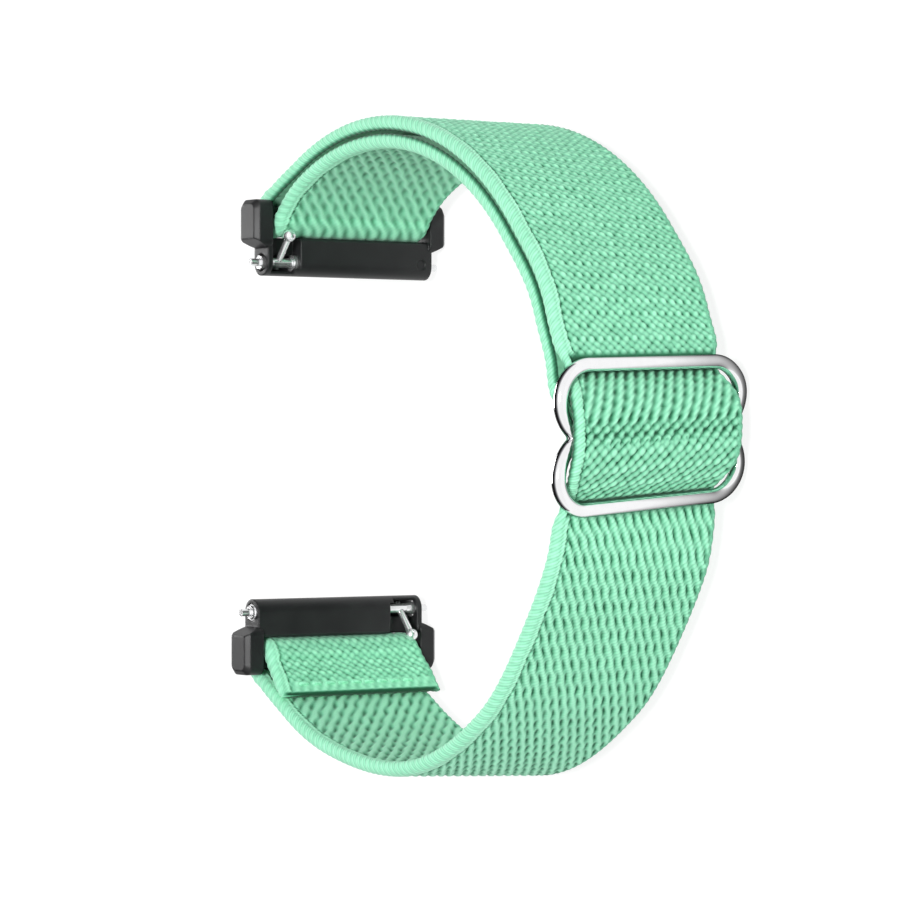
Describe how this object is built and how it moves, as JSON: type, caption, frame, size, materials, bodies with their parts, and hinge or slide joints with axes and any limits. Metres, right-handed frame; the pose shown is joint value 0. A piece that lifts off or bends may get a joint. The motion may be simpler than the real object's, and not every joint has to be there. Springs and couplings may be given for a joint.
{
  "type": "elastic watch band",
  "caption": "Elastic woven watch band with a wire tri-glide slider and moulded end connectors on quick-release spring bars.",
  "frame": {"origin": "middle of the band's bounding box, on the face that it stands on", "axes": "+Z across the webbing, towards the edge that faces the viewer; +Y from the lower to the upper connector; +X from the watch opening to the slider"},
  "size_m": [0.0624, 0.069, 0.025],
  "materials": {
    "webbing": "mint green woven elastic",
    "thread": "mint green sewing thread",
    "polished_steel": "polished wire",
    "black_plastic": "fine satin moulding",
    "bar_steel": "turned steel"
  },
  "bodies": {
    "strap": {"webbing_lower": "webbing", "webbing_slider_run": "webbing", "webbing_outer": "webbing", "webbing_inner": "webbing", "webbing_upper_loop": "webbing", "webbing_lower_loop": "webbing", "lower_stitching": "thread"},
    "slider": {"slider_frame": "polished_steel", "slider_center_bar": "polished_steel", "webbing_slider_loop": "webbing", "slider_stitching": "thread"},
    "upper_connector": {"upper_connector": "black_plastic"},
    "upper_bar": {"upper_bar_barrel": "bar_steel", "upper_fixed_tip": "bar_steel", "upper_bar_spring": "bar_steel"},
    "upper_release": {"upper_release_pin": "bar_steel", "upper_release_lever": "bar_steel"},
    "lower_connector": {"lower_connector": "black_plastic"},
    "lower_bar": {"lower_bar_barrel": "bar_steel", "lower_fixed_tip": "bar_steel", "lower_bar_spring": "bar_steel"},
    "lower_release": {"lower_release_pin": "bar_steel", "lower_release_lever": "bar_steel"}
  },
  "joints": [
    {"name": "slider_glide", "type": "hinge", "parent": "strap", "child": "slider", "pos_m": [-0.00603, 0, 0.0125], "axis": [0, 0, 1], "range_deg": [-30, 30], "deforming": ["webbing_slider_run", "webbing_inner"]},
    {"name": "upper_connector_pivot", "type": "hinge", "parent": "strap", "child": "upper_connector", "pos_m": [-0.02673, 0.02538, 0.0125], "axis": [0, 0, 1], "range_deg": [-45, 15]},
    {"name": "upper_bar_swing", "type": "hinge", "parent": "upper_connector", "child": "upper_bar", "pos_m": [-0.02673, 0.01998, 0.0125], "axis": [0, 0, -1], "range_deg": [0, 40]},
    {"name": "upper_release_slide", "type": "slide", "parent": "upper_bar", "child": "upper_release", "axis": [0, 0, -1], "range_m": [0, 0.0012], "stiffness_N_per_m": 300, "springref_m": -0.003, "deforming": ["upper_bar_spring"]},
    {"name": "lower_connector_pivot", "type": "hinge", "parent": "strap", "child": "lower_connector", "pos_m": [-0.0287, -0.02364, 0.0125], "axis": [0, 0, -1], "range_deg": [-45, 15]},
    {"name": "lower_bar_swing", "type": "hinge", "parent": "lower_connector", "child": "lower_bar", "pos_m": [-0.0287, -0.01824, 0.0125], "axis": [0, 0, 1], "range_deg": [0, 40]},
    {"name": "lower_release_slide", "type": "slide", "parent": "lower_bar", "child": "lower_release", "axis": [0, 0, 1], "range_m": [0, 0.0012], "stiffness_N_per_m": 300, "springref_m": -0.003, "deforming": ["lower_bar_spring"]}
  ]
}
